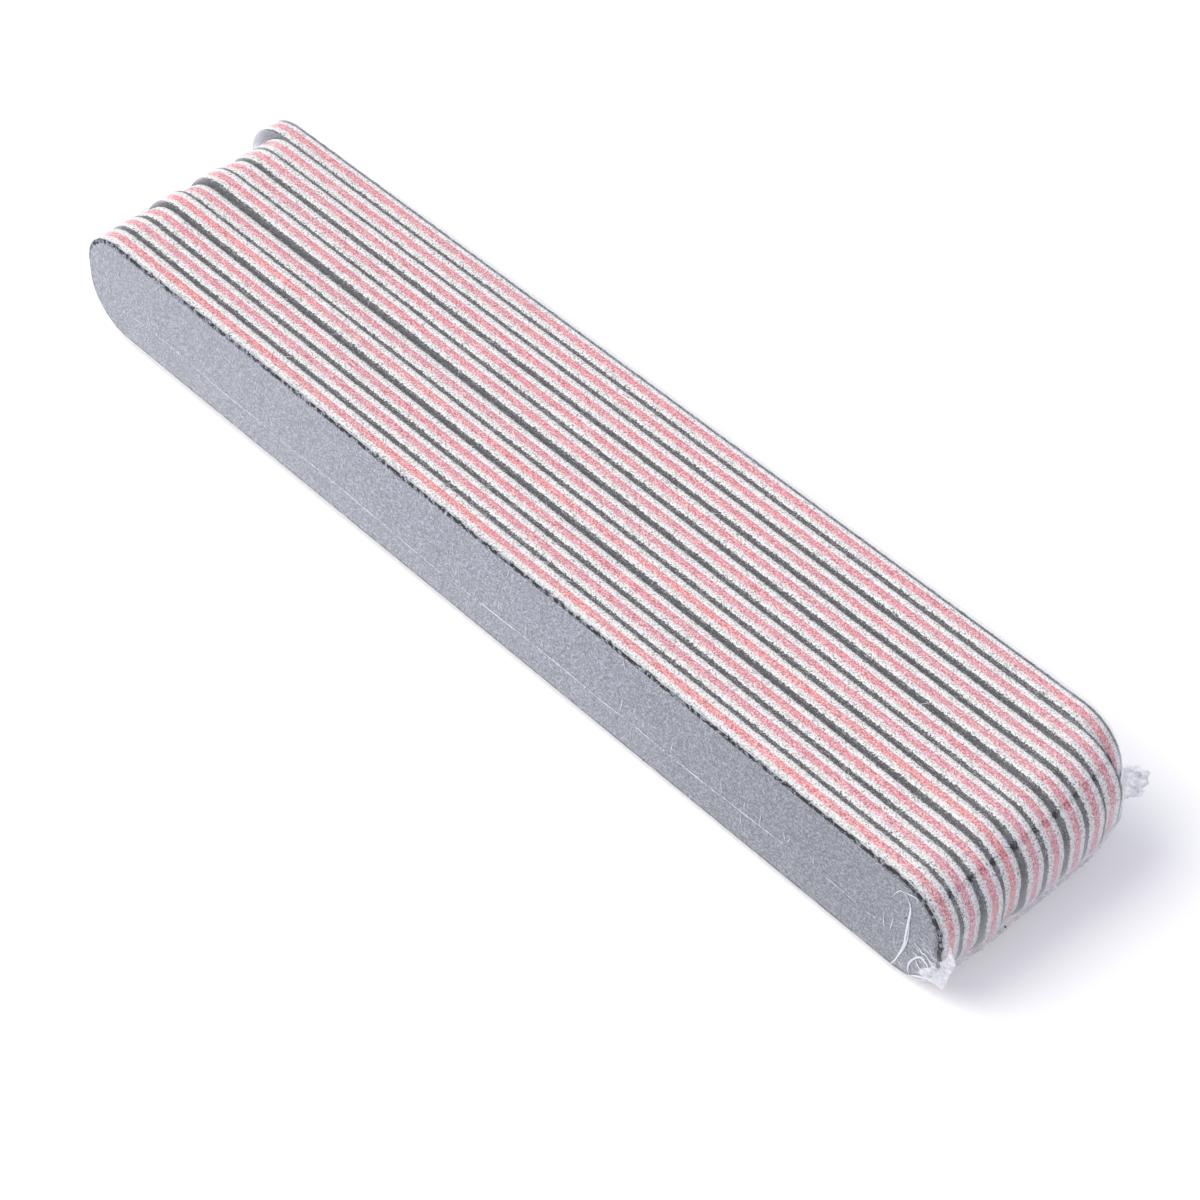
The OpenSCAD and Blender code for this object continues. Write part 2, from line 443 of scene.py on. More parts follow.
def alongProfile(profile, part):  # how far the edge stands out at a share of the layer's depth
    for (partA, outA), (partB, outB) in zip(profile, profile[1:]):
        if part <= partB:
            return (outA + (outB - outA) * (part - partA) / (partB - partA)) * mm
    return profile[-1][1] * mm


def roughen(spot, seed):  # small stand-out left by the die, different on each layer
    grain = noise.noise(spot / layerShape["grainSize"] + Vector((seed, 3.1 * seed, 0)))
    sway = noise.noise(spot / layerShape["swaySize"] + Vector((0, seed, 7.7)))
    return layerShape["grain"] * grain + layerShape["sway"] * sway


def solidLayer(bm, depth, cuts, profile, seed):
    outlineFace(bm)
    made = bmesh.ops.extrude_face_region(bm, geom=bm.faces[:])
    bmesh.ops.translate(bm, vec=(0, depth, 0), verts=vertsOf(made))
    sideEdges = [e for e in bm.edges if abs(e.verts[0].co.y - e.verts[1].co.y) > depth / 2]
    bmesh.ops.subdivide_edges(bm, edges=sideEdges, cuts=cuts, use_grid_fill=True)
    for vert in bm.verts:
        away = outward(vert.co)
        vert.co += away * (alongProfile(profile, vert.co.y / depth) + roughen(vert.co, seed))
    bmesh.ops.recalc_face_normals(bm, faces=bm.faces)


def rolledSheet(bm, seed):  # thin sheet whose rim is rolled back over the foam
    rimMark = bm.verts.layers.float.new("rim")
    outlineFace(bm, rolledRim["faceInset"])
    rim = [e for e in bm.edges if e.is_boundary]
    reach, depthSoFar = rolledRim["faceInset"], 0.0
    for depth, standOut, mark in rolledRim["rows"]:
        rim = [e for e in edgesOf(bmesh.ops.extrude_edge_only(bm, edges=rim)) if e.is_boundary]
        for vert in {v for e in rim for v in e.verts}:
            vert.co += outward(vert.co) * (reach + standOut * mm)
            vert.co.y += depth * mm - depthSoFar
            vert[rimMark] = mark
        reach, depthSoFar = -standOut * mm, depth * mm
    for vert in bm.verts:
        if vert.co.y > 0:
            vert.co += outward(vert.co) * roughen(vert.co, seed)
    bmesh.ops.recalc_face_normals(bm, faces=bm.faces)
    bmesh.ops.solidify(bm, geom=bm.faces[:], thickness=rolledRim["sheet"])
    bmesh.ops.recalc_face_normals(bm, faces=bm.faces)


def finishPiece(name, bm, material, nodes):
    mesh = meshFrom(name, bm)
    mesh.materials.append(material)
    piece = addObject(name, mesh)
    mesh.shade_smooth()
    mesh.set_sharp_from_angle(angle=layerShape["smoothAngle"])
    if nodes:
        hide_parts(*nodes)
    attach(piece, "root")


def makeLayer(number, layer):
    node = "board_%02d_%s" % (number, layer)
    low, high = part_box(node)
    centre, lean = places[number]
    seed = number * 5.3 + len(layer)
    bm = bmesh.new()
    rolledFront = number == 1 and layer == "front_grit"
    rolledBack = number == stack["boards"] and layer == "back_grit"
    if rolledFront or rolledBack:
        rolledSheet(bm, seed)
        if rolledBack:
            bmesh.ops.scale(bm, vec=(1, -1, 1), verts=bm.verts)
            bmesh.ops.recalc_face_normals(bm, faces=bm.faces)
    else:
        profile = edgeProfiles[layer]
        if number == 1 and layer == "front_foam":
            profile = rolledRim["foamProfile"]
        if number == stack["boards"] and layer == "back_foam":
            profile = tuple((1 - part, out) for part, out in reversed(rolledRim["foamProfile"]))
        solidLayer(bm, high.y - low.y, sideCuts[layer], profile, seed)
    startY = high.y if rolledBack else low.y
    place = Matrix.Translation((centre.x, startY, centre.z)) @ Matrix.Rotation(-lean, 4, "Y")
    bmesh.ops.transform(bm, matrix=place, verts=bm.verts)
    if layer == "core":
        material, slotName = cores[coreLook["tints"].get(number, "pink")], "core"
    elif layer.endswith("foam"):
        material, slotName = foam, "foam"
    else:
        outside = number in (1, stack["boards"])
        material, slotName = grit if outside else gritWithPaintedShade, "grit"
    name = "board%02d%s" % (number, "".join(word.capitalize() for word in layer.split("_")))
    finishPiece(name, bm, material, [node])


for number in places:
    for layer in edgeProfiles:
        makeLayer(number, layer)
print("stage: boards made")


# film: shrunk tight round the stack, with creases, welds and two crumpled tails
# ripples are given as scale, strength and height, patches as scale and detail of the noise

filmLook = {
    "tint": (0.95, 0.96, 1.0, 1),
    "roughness": 0.07,
    "headOn": 0.04,  # share reflected by one surface seen square on
    "skinRipple": (500.0, 0.25, 0.05 * mm),
    "weldRipple": (2500.0, 0.5, 0.05 * mm),
    "tailRipple": (1400.0, 0.6, 0.2 * mm),
    "rimWide": 0.55,  # millimetres of the front rim that stay clear, and how much more at the near end
    "rimWider": 0.45,
    "rimDepth": (0.25 * mm, 0.05 * mm),  # how far behind the front the clear rim fades out
    "rimFade": (1.25, 0.85),  # shares of its width at which it is over and at which it is full
    "rimHeight": (7 * mm, 12 * mm),  # z over which it comes in
    "rimLeft": 0.08,  # what is left there of the film's veil
}

# haze is the milky share of the film, where 0 is clear
hazeLook = {
    "patches": (420.0, 3.0),
    "front": (0.07, 0.0),  # at the front's far end and at its near end
    "frontSpan": (-85 * mm, 60 * mm),
    "frontDepth": (0.02 * mm, 0.10 * mm),  # before the boards
    "corner": (0.0945, 0.3645),  # least and most at the front's near corner
    "cornerPatches": (0.3, 0.7),
    "cornerSpan": (84 * mm, 88.5 * mm),
    "cornerHeight": (13.5 * mm, 5 * mm),  # fades out upwards
    "end": 0.04,  # over the near end
    "endSpan": (66 * mm, 84 * mm),
    "clingSpan": (83.0 * mm, 84.6 * mm),  # where the film clings to the near end and is clear
    "clingHeight": (13.8 * mm, 15.4 * mm),
    "clingPatches": (0.35, 0.5, 0.4, 1.0),
    "tail": (0.35, 0.65, 0.147, 0.672),
    "tailPatches": (900.0, 4.0),
    "weld": (0.42, 0.62, 0.02, 0.5),
    "weldPatches": (260.0, 4.0),
    "crease": 0.62,
}


def makeVeilGroup():  # how much a clear skin hides: its mirror share and its milky share
    group, begin, end = newGroup(
        "filmVeil",
        [("Edge On", "NodeSocketFloat", 0.0), ("Haze", "NodeSocketFloat", 0.0)],
        [("Alpha", "NodeSocketFloat"), ("Mirror", "NodeSocketFloat")],
    )
    haze = begin.outputs["Haze"]
    steep = doMath(group, "POWER", begin.outputs["Edge On"], 5.0)
    single = doMath(group, "MULTIPLY_ADD", steep, 1 - filmLook["headOn"], filmLook["headOn"])
    both = doMath(group, "DIVIDE", doMath(group, "MULTIPLY", single, 2.0), doMath(group, "ADD", single, 1.0))
    plain = doMath(group, "ADD", both, haze)
    total = doMath(group, "SUBTRACT", plain, doMath(group, "MULTIPLY", both, haze))
    group.links.new(doMath(group, "MINIMUM", total, 1.0), end.inputs["Alpha"])
    notZero = doMath(group, "ADD", plain, 0.0001)
    group.links.new(doMath(group, "DIVIDE", both, notZero), end.inputs["Mirror"])
    return group


def makeInsetGroup():  # distance in millimetres in from the outline of the front board
    group, begin, end = newGroup(
        "frontInset", [("Point", "NodeSocketVector", None)], [("Inset", "NodeSocketFloat")],
    )
    centre = places[1][0]
    spot = splitPoint(group, begin.outputs["Point"])
    beyond = []
    for axis, half in ((0, stack["length"] / 2), (2, stack["width"] / 2)):
        away = doMath(group, "ABSOLUTE", doMath(group, "SUBTRACT", spot[axis], centre[axis]))
        past = doMath(group, "SUBTRACT", away, half - stack["cornerRadius"])
        beyond.append(doMath(group, "POWER", doMath(group, "MAXIMUM", past, 0.0), 2.0))
    reach = doMath(group, "SQRT", doMath(group, "ADD", *beyond))
    inset = doMath(group, "SUBTRACT", stack["cornerRadius"], reach)
    group.links.new(doMath(group, "DIVIDE", inset, mm), end.inputs["Inset"])
    return group


filmVeil = makeVeilGroup()
frontInset = makeInsetGroup()


# 1 where the film turns over the front board's upper rim, which reflects nothing bright
def rimClear(tree, point):
    inset = newNode(tree, "ShaderNodeGroup", {"node_tree": frontInset}, Point=point).outputs["Inset"]
    x, y, z = splitPoint(tree, point)
    onFront = ramp(tree, y, *(stack["frontY"] + depth for depth in filmLook["rimDepth"]))
    wide = doMath(
        tree, "MULTIPLY_ADD", ramp(tree, x, *stack["nearRound"]), filmLook["rimWider"], filmLook["rimWide"],
    )
    zone = ramp(tree, doMath(tree, "DIVIDE", inset, wide), *filmLook["rimFade"])
    upper = ramp(tree, z, *filmLook["rimHeight"])
    return doMath(tree, "MULTIPLY", doMath(tree, "MULTIPLY", onFront, zone), upper)


def clearSkin(name, hazeMaker, ripple, clearsRim=False):
    material, tree, shader = startMaterial(name)
    point = newNode(tree, "ShaderNodeTexCoord").outputs["Object"]
    scale, strength, height = ripple
    rippled = cloudy(tree, point, scale, 3.0)
    bump = newNode(tree, "ShaderNodeBump", Strength=strength, Distance=height, Height=rippled).outputs[0]
    edgeOn = newNode(tree, "ShaderNodeLayerWeight", Blend=0.5, Normal=bump).outputs["Facing"]
    veil = newNode(tree, "ShaderNodeGroup", {"node_tree": filmVeil}, Haze=hazeMaker(tree, point))
    tree.links.new(edgeOn, veil.inputs["Edge On"])
    alpha = veil.outputs["Alpha"]
    if clearsRim:
        left = doMath(tree, "MULTIPLY_ADD", rimClear(tree, point), filmLook["rimLeft"] - 1, 1.0)
        alpha = doMath(tree, "MULTIPLY", alpha, left)
    shader.inputs["Base Color"].default_value = filmLook["tint"]
    shader.inputs["Roughness"].default_value = filmLook["roughness"]
    tree.links.new(veil.outputs["Mirror"], shader.inputs["Metallic"])
    tree.links.new(alpha, shader.inputs["Alpha"])
    tree.links.new(bump, shader.inputs["Normal"])
    return material


def skinHaze(tree, point):
    x, y, z = splitPoint(tree, point)
    patchy = cloudy(tree, point, *hazeLook["patches"])
    onFront = ramp(tree, y, *(stack["frontY"] - depth for depth in hazeLook["frontDepth"]))
    front = doMath(tree, "MULTIPLY", onFront, ramp(tree, x, *hazeLook["frontSpan"], *hazeLook["front"]))
    atCorner = doMath(
        tree, "MULTIPLY", ramp(tree, x, *hazeLook["cornerSpan"]), ramp(tree, z, *hazeLook["cornerHeight"]),
    )
    corner = doMath(
        tree, "MULTIPLY", atCorner, ramp(tree, patchy, *hazeLook["cornerPatches"], *hazeLook["corner"]),
    )
    cling = doMath(
        tree, "MULTIPLY", ramp(tree, z, *hazeLook["clingHeight"]), ramp(tree, x, *hazeLook["clingSpan"]),
    )
    cling = doMath(tree, "MULTIPLY", cling, ramp(tree, patchy, *hazeLook["clingPatches"]))
    nearEnd = ramp(tree, x, *hazeLook["endSpan"], 0.0, hazeLook["end"])
    breath = doMath(tree, "MULTIPLY", nearEnd, doMath(tree, "SUBTRACT", 1.0, cling))
    return doMath(tree, "MAXIMUM", doMath(tree, "MAXIMUM", front, corner), breath)


def tailHaze(tree, point):
    return ramp(tree, cloudy(tree, point, *hazeLook["tailPatches"]), *hazeLook["tail"])


def weldHaze(tree, point):
    return ramp(tree, cloudy(tree, point, *hazeLook["weldPatches"]), *hazeLook["weld"])


def creaseHaze(tree, point):
    return hazeLook["crease"]


skinFilm = clearSkin("shrunkFilm", skinHaze, filmLook["skinRipple"], clearsRim=True)
weldedFilm = clearSkin("weldedFilm", weldHaze, filmLook["weldRipple"])
creasedFilm = clearSkin("creasedFilm", creaseHaze, filmLook["weldRipple"])
tailFilm = clearSkin("crumpledFilm", tailHaze, filmLook["tailRipple"])

wrap = {
    "gridStep": 1.6 * mm,
    "stepLift": 0.006 * mm,  # keeps the faces of the two runs apart where they overlap
    "flatAngle": math.radians(0.3),
    "pull": 0.07 * mm,  # how far the wrinkles draw the skin in
    "pullSize": 7 * mm,
}


def boardShell(number, standOff):  # a board's outline with room all round
    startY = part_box("board_%02d_front_grit" % number)[0].y
    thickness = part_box("board_%02d_back_grit" % number)[1].y - startY
    bm = bmesh.new()
    outlineFace(bm, -standOff, fine=False)
    made = bmesh.ops.extrude_face_region(bm, geom=bm.faces[:])
    bmesh.ops.translate(bm, vec=(0, thickness + 2 * standOff, 0), verts=vertsOf(made))
    centre, lean = places[number]
    place = Matrix.Translation((centre.x, startY - standOff, centre.z)) @ Matrix.Rotation(-lean, 4, "Y")
    bmesh.ops.transform(bm, matrix=place, verts=bm.verts)
    return bm


def tightRun(first, final, standOff):  # skin pulled tight round a run of boards
    whole = bmesh.new()
    for number in range(first, final + 1):
        carrier = meshFrom("carrier", boardShell(number, standOff))
        whole.from_mesh(carrier)
        bpy.data.meshes.remove(carrier)
    bmesh.ops.delete(whole, geom=whole.edges[:] + whole.faces[:], context="EDGES_FACES")
    made = bmesh.ops.convex_hull(whole, input=whole.verts[:])
    loose = {g for g in made["geom_interior"] + made["geom_unused"] if isinstance(g, bmesh.types.BMVert)}
    bmesh.ops.delete(whole, geom=list(loose), context="VERTS")
    bmesh.ops.dissolve_limit(whole, angle_limit=wrap["flatAngle"], verts=whole.verts[:], edges=whole.edges[:])
    bmesh.ops.recalc_face_normals(whole, faces=whole.faces)
    name = "run%02d" % first
    return addObject(name, meshFrom(name, whole))


def joinedRuns():  # the last board has slipped, so the film steps out to it from the board before
    last = stack["boards"]
    squared = tightRun(1, last - 1, stack["filmStandOff"])
    stepped = tightRun(last - 1, last, stack["filmStandOff"] + wrap["stepLift"])
    join = squared.modifiers.new("join", "BOOLEAN")
    join.operation = "UNION"
    join.solver = "EXACT"
    join.object = stepped
    bm = evaluatedMesh(squared)
    bpy.data.objects.remove(stepped)
    return bm


def cutAcross(bm, axis, low, high, step):  # stations at even steps along an axis
    count = int((high - low) / step)
    for index in range(1, count):
        spot = Vector((0, 0, 0))
        spot[axis] = low + (high - low) * index / count
        facing = Vector((0, 0, 0))
        facing[axis] = 1
        geom = bm.verts[:] + bm.edges[:] + bm.faces[:]
        bmesh.ops.bisect_plane(bm, geom=geom, plane_co=spot, plane_no=facing, dist=tiny)


filmBody = joinedRuns()
bmesh.ops.dissolve_degenerate(filmBody, edges=filmBody.edges[:], dist=1e-6)
filmSpan = [[pick(v.co[axis] for v in filmBody.verts) for pick in (min, max)] for axis in range(3)]
for axis in range(3):
    cutAcross(filmBody, axis, *filmSpan[axis], wrap["gridStep"])
filmTree = BVHTree.FromBMesh(filmBody)
print("stage: film run has", len(filmBody.verts), "points")


endSeals = {
    "level": 5 * mm,
    "nearReach": (0.25, 0.62),  # millimetres, least and most
    "farReach": (0.10, 0.25),
    "nearDeep": 5 * mm,  # how far back from the end the seal starts
    "farDeep": 5.5 * mm,
    "nearMiddle": -1.5 * mm,  # y of the near seal's middle
    "nearHalf": 19.0 * mm,
    "farShort": 6 * mm,  # how far short of the back the far seal stops
    "rows": 3,
    "tears": ((0.9 * mm, 1.0, 1.7), (0.3 * mm, 0.6, 9.2)),  # size, weight, and row of the noise that is read
    "tearDepth": 0.8,
    "sheet": 0.05 * mm,
    "lift": 0.10 * mm,
    "liftSize": 0.8 * mm,
}


def sectionEdges(level, keep):  # where the level plane cuts the film, as loose edges
    bm = filmBody.copy()
    bmesh.ops.bisect_plane(
        bm, geom=bm.verts[:] + bm.edges[:] + bm.faces[:], plane_co=(0, 0, level), plane_no=(0, 0, 1),
        clear_inner=True, clear_outer=True,
    )
    bmesh.ops.delete(bm, geom=[v for v in bm.verts if not keep(v.co)], context="VERTS")
    return bm


def makeEndSeal(name, side, reach, keep):
    bm = sectionEdges(endSeals["level"], keep)
    bmesh.ops.subdivide_edges(bm, edges=bm.edges[:], cuts=2)
    edges = bm.edges[:]
    for _ in range(endSeals["rows"]):
        made = bmesh.ops.extrude_edge_only(bm, edges=edges)
        for vert in vertsOf(made):
            torn = sum(
                weight * noise.noise(Vector((vert.co.y / size, row, 0)))
                for size, weight, row in endSeals["tears"]
            )
            wide = reach[0] + (reach[1] - reach[0]) * clamp(0.5 + endSeals["tearDepth"] * torn)
            vert.co.x += side * wide * mm / endSeals["rows"]
            vert.co.z += endSeals["lift"] * noise.noise(vert.co / endSeals["liftSize"])
        edges = [
            e for e in edgesOf(made)
            if abs(e.verts[0].co.y - e.verts[1].co.y) > tiny and len(e.link_faces) == 1
        ]
    bmesh.ops.recalc_face_normals(bm, faces=bm.faces)
    bmesh.ops.solidify(bm, geom=bm.faces[:], thickness=endSeals["sheet"])
    bmesh.ops.recalc_face_normals(bm, faces=bm.faces)
    finishPiece(name, bm, tailFilm, [])


def onNearEnd(spot):
    deep = spot.x > filmSpan[0][1] - endSeals["nearDeep"]
    return deep and abs(spot.y - endSeals["nearMiddle"]) < endSeals["nearHalf"]


def onFarEnd(spot):
    return spot.x < filmSpan[0][0] + endSeals["farDeep"] and spot.y < stack["backY"] - endSeals["farShort"]


def makeSkin():
    bm = filmBody.copy()
    bmesh.ops.recalc_face_normals(bm, faces=bm.faces)
    bm.normal_update()
    for vert in bm.verts:
        folds = 0.5 + 0.5 * noise.noise(vert.co / wrap["pullSize"])
        vert.co -= vert.normal * wrap["pull"] * clamp(folds)
    bmesh.ops.triangulate(bm, faces=[f for f in bm.faces if len(f.verts) > 4])
    finishPiece("filmSkin", bm, skinFilm, ["film_wrap"])


makeEndSeal("nearEndSeal", 1, endSeals["nearReach"], onNearEnd)
makeEndSeal("farEndSeal", -1, endSeals["farReach"], onFarEnd)
makeSkin()
print("stage: film skin and end seals made")


# raised creases in the film of the front board, drawn as points of x and z in millimetres

frontCreases = {
    "stand": 0.05,  # how far a strand's middle stands off the film, millimetres
    "flatten": 0.45,
    "strands": (  # width and course
        (0.20, (
            (83.7, 16.4), (84.1, 15.5), (84.2, 14.5), (84.1, 12.7), (84.0, 11.2), (83.9, 9.2), (83.8, 7.2),
            (83.3, 5.0), (82.7, 3.0), (81.9, 1.1),
        )),
        (0.10, ((84.25, 12.2), (84.3, 10.4), (84.2, 8.2), (83.75, 6.1), (83.1, 4.1), (82.4, 1.7))),
        (0.07, ((82.5, 11.1), (83.1, 11.1), (83.8, 11.0))),
        (0.07, ((81.0, 14.7), (81.6, 16.2), (82.5, 17.2), (83.3, 16.9), (83.8, 16.3))),
        (0.09, ((82.8, 17.4), (83.6, 17.7), (84.7, 18.0), (85.1, 18.0), (85.1, 17.1))),
        (0.16, (
            (85.2, 1.9), (84.9, 2.8), (85.0, 4.3), (85.6, 5.8), (86.3, 6.9), (87.0, 7.4), (87.6, 7.1),
            (88.1, 6.6), (88.1, 5.7),
        )),
        (0.18, ((85.2, 1.9), (86.3, 2.8), (87.4, 3.6), (88.5, 4.4), (89.3, 4.7))),
        (0.13, ((86.0, 6.1), (86.3, 5.4), (87.0, 4.9), (87.6, 5.2), (88.3, 5.2))),
        (0.12, ((86.3, 8.9), (86.7, 8.4), (87.5, 8.5), (88.1, 8.1), (88.7, 8.0), (89.4, 8.5))),
        (0.10, ((87.5, 8.5), (88.3, 7.9), (89.0, 7.5), (89.6, 7.8))),
        (0.08, ((88.4, 9.5), (88.8, 9.2), (89.5, 9.1))),
    ),
    "ticks": (  # x, top and foot
        (-73.4, 10.4, 8.8), (-71.3, 10.2, 9.0), (-46.4, 9.7, 8.3), (-45.6, 9.7, 7.9), (-44.6, 9.5, 8.1),
        (-24.2, 9.0, 7.9), (-4.6, 9.7, 8.6), (-3.8, 9.5, 8.4), (5.3, 10.6, 8.1), (5.8, 10.2, 8.4),
        (7.4, 18.7, 16.5), (10.9, 9.7, 7.9), (14.2, 9.7, 7.9), (30.3, 10.6, 7.9), (30.6, 18.9, 17.0),
        (34.6, 9.8, 8.1), (40.2, 10.1, 7.5), (49.8, 9.8, 8.0), (54.2, 10.1, 8.1), (57.2, 10.0, 7.7),
        (61.7, 10.0, 8.4), (62.5, 9.9, 8.5), (67.1, 9.8, 8.3), (80.0, 9.5, 7.5), (81.4, 11.0, 7.5),
        (53.7, 6.5, 4.0), (41.6, 8.6, 8.2), (-78.4, 13.75, 13.5),
    ),
    "tickWidth": 0.085,
    "tickLean": 0.25,
    "tickTurn": 2.3,  # spreads the lean of the ticks evenly both ways
    "seal": (
        (-84.5, 6.2), (-80.6, 6.8), (-76.1, 7.4), (-69.3, 7.6), (-63.8, 7.4), (-58.4, 7.0), (-54.7, 6.9),
        (-47.0, 7.1), (-42.0, 6.6), (-32.9, 6.9), (-19.5, 6.5), (-8.5, 6.2), (-0.4, 6.6), (3.7, 6.7),
        (10.5, 6.9), (17.4, 6.9), (26.9, 6.7), (30.7, 6.9), (45.3, 6.9), (52.5, 7.2), (59.8, 7.5),
        (67.1, 7.9), (73.5, 7.8), (80.3, 7.6), (83.5, 7.6),
    ),
    "sealWidth": 0.055,
    "sealSink": 0.03,  # how much closer to the film the long seal lies
}
frontFilmY = filmSpan[1][0] / mm

# longer folds on the top: width, and course as points of x and y in millimetres
topFolds = (
    (0.045, ((3.1, -11.4), (7.6, -11.1), (11.8, -10.8), (15.6, -10.5), (18.1, -10.3))),
    (0.035, ((14.7, -0.6), (19.3, -0.2), (22.9, -0.2), (26.0, 0.1))),
    (0.04, ((9.8, -20.0), (10.4, -19.1), (10.6, -17.6), (12.4, -18.1))),
    (0.035, ((24.2, -10.6), (24.0, -9.0), (24.1, -7.9))),
    (0.045, ((68.8, 15.6), (71.6, 15.6), (74.6, 15.3), (77.7, 14.8))),
    (0.045, ((74.2, 14.9), (74.0, 16.0), (74.6, 17.2), (77.1, 17.1))),
)

crumbs = {
    "spots": (  # x, y, z and radius in millimetres, with None where the film gives the place
        (18.0, -10.4, None, 0.17), (17.4, -10.9, None, 0.09), (None, -8.2, 5.45, 0.17),
        (None, 14.4, 5.6, 0.17), (83.6, -21.12, 12.6, 0.11), (34.8, -21.12, 1.4, 0.12),
        (-14.6, -8.0, None, 0.12), (61.0, 3.0, None, 0.12),
    ),
    "shape": (1.0, 0.8, 0.7, 1.0),
    "rough": 0.03 * mm,
    "roughSize": 0.15 * mm,
}

# short loose creases on the rest of the film: where they lie, how many, how long and how wide, in millimetres
scatter = {
    "top": {"count": 110, "x": (-84, 84), "y": (-20, 17), "long": (0.5, 2.2), "wide": (0.028, 0.055)},
    "end": {"count": 75, "y": (-20.5, 17), "z": (1.2, 8.5), "long": (0.5, 1.8), "wide": (0.03, 0.06)},
    "front": {"count": 120, "x": (-86, 86), "z": (1.5, 17), "long": (0.15, 0.9), "wide": (0.022, 0.045)},
    "corner": {"count": 34, "x": (83, 88.6), "z": (1.8, 11), "long": (0.5, 2.0), "wide": (0.03, 0.07)},
}

strandShape = {
    "bevel": 0.1,  # millimetres, scaled at each point to the strand's own width
    "steps": 6,
    "tip": 0.25,  # width of a strand's tips beside its middle
    "taper": 4,  # how fast it reaches its full width
    "stretch": 1.6,  # a loose crease longer than this many times the longest spans a gap and is left out
}


def strandCurve(name, paths):  # tapered round strands, turned into a mesh
    curve = bpy.data.curves.new(name, "CURVE")
    curve.dimensions = "3D"
    curve.bevel_depth = strandShape["bevel"] * mm
    curve.bevel_resolution = 1
    curve.use_fill_caps = True
    curve.resolution_u = strandShape["steps"]
    for width, spots in paths:
        spline = curve.splines.new("BEZIER")
        spline.bezier_points.add(len(spots) - 1)
        final = len(spots) - 1
        for index, (point, spot) in enumerate(zip(spline.bezier_points, spots)):
            point.co = Vector(spot) * mm
            point.handle_left_type = point.handle_right_type = "AUTO"
            fromTip = min(index, final - index) / max(1, final)
            grown = min(1.0, strandShape["taper"] * fromTip)
            wide = strandShape["tip"] + (1 - strandShape["tip"]) * grown
            point.radius = width / strandShape["bevel"] * wide
    bm = evaluatedMesh(addObject(name, curve))
    bmesh.ops.remove_doubles(bm, verts=bm.verts, dist=tiny)
    bmesh.ops.recalc_face_normals(bm, faces=bm.faces)
    return bm


def looseCreases(rng, area, startAt, wayOf):  # short strands laid where a ray from outside meets the film
    paths = []
    for _ in range(area["count"]):
        start, ray = startAt(rng, area)
        way = wayOf(rng)
        half = way * rng.uniform(*area["long"]) * mm / 2
        hits = [filmTree.ray_cast(start + half * part, ray)[0] for part in (-1, 0, 1)]
        spots = [hit / mm for hit in hits if hit is not None]
        if len(spots) == 3 and (spots[0] - spots[2]).length < strandShape["stretch"] * area["long"][1]:
            paths.append((rng.uniform(*area["wide"]), spots))
    return paths


# where rays start, metres, well clear of the film in front of it, above it and beyond its near end
clearOf = {"front": -0.1, "top": 0.1, "end": 0.2}


def fromFront(rng, area):
    x, z = rng.uniform(*area["x"]) * mm, rng.uniform(*area["z"]) * mm
    return Vector((x, clearOf["front"], z)), Vector((0, 1, 0))


def fromTop(rng, area):
    x, y = rng.uniform(*area["x"]) * mm, rng.uniform(*area["y"]) * mm
    return Vector((x, y, clearOf["top"])), Vector((0, 0, -1))


def fromEnd(rng, area):
    y, z = rng.uniform(*area["y"]) * mm, rng.uniform(*area["z"]) * mm
    return Vector((clearOf["end"], y, z)), Vector((-1, 0, 0))


def anyWay(rng):
    return Vector((math.cos(rng.uniform(0, 3.1)), 0, 1)).normalized()


def towardsTail(rng):
    return Vector((1, 0, rng.uniform(-0.9, 0.1))).normalized()


def acrossTop(rng):
    return Vector((rng.uniform(-0.6, 0.9), rng.uniform(-1, 1), 0)).normalized()


def uprightWay(rng):
    return Vector((0, rng.uniform(-0.35, 0.35), 1)).normalized()


def dropOnTop(x, y):  # a spot on top of the film, millimetres
    hit = filmTree.ray_cast(Vector((x * mm, y * mm, clearOf["top"])), Vector((0, 0, -1)))[0]
    return (x, y, hit.z / mm)


def makeCrumbs():  # grains of grit caught in the film
    bm = bmesh.new()
    for x, y, z, radius in crumbs["spots"]:
        if z is None:
            z = dropOnTop(x, y)[2]
        if x is None:
            hit = filmTree.ray_cast(Vector((clearOf["end"], y * mm, z * mm)), Vector((-1, 0, 0)))[0]
            x = hit.x / mm + radius / 2
        place = Matrix.Translation(Vector((x, y, z)) * mm) @ Matrix.Diagonal(crumbs["shape"])
        bmesh.ops.create_icosphere(bm, subdivisions=2, radius=radius * mm, matrix=place)
    for vert in bm.verts:
        vert.co += Vector((1, 1, 1)) * crumbs["rough"] * noise.noise(vert.co / crumbs["roughSize"])
    finishPiece("gritCrumbs", bm, gritWithPaintedShade, [])


def makeFrontCreases(rng):
    y = frontFilmY - frontCreases["stand"]
    paths = [(width, [(x, y, z) for x, z in spots]) for width, spots in frontCreases["strands"]]
    for index, (x, top, foot) in enumerate(frontCreases["ticks"]):
        lean = frontCreases["tickLean"] * math.sin(index * frontCreases["tickTurn"])
        spots = [(x - lean, y, top), (x + 0.1 * lean, y, (top + foot) / 2), (x + lean, y, foot)]
        paths.append((frontCreases["tickWidth"], spots))
    paths += looseCreases(rng, scatter["front"], fromFront, anyWay)
    paths += looseCreases(rng, scatter["corner"], fromFront, towardsTail)
    bm = strandCurve("creaseCurve", paths)
    toFilm = Matrix.Translation((0, y * mm, 0))
    flat = toFilm @ Matrix.Diagonal((1, frontCreases["flatten"], 1, 1)) @ toFilm.inverted()
    bmesh.ops.transform(bm, matrix=flat, verts=bm.verts)
    finishPiece("frontCreases", bm, creasedFilm, [])
    course = [(x, y + frontCreases["sealSink"], z) for x, z in frontCreases["seal"]]
    longSeal = strandCurve("sealCurve", [(frontCreases["sealWidth"], course)])
    finishPiece("longSeal", longSeal, weldedFilm, [])


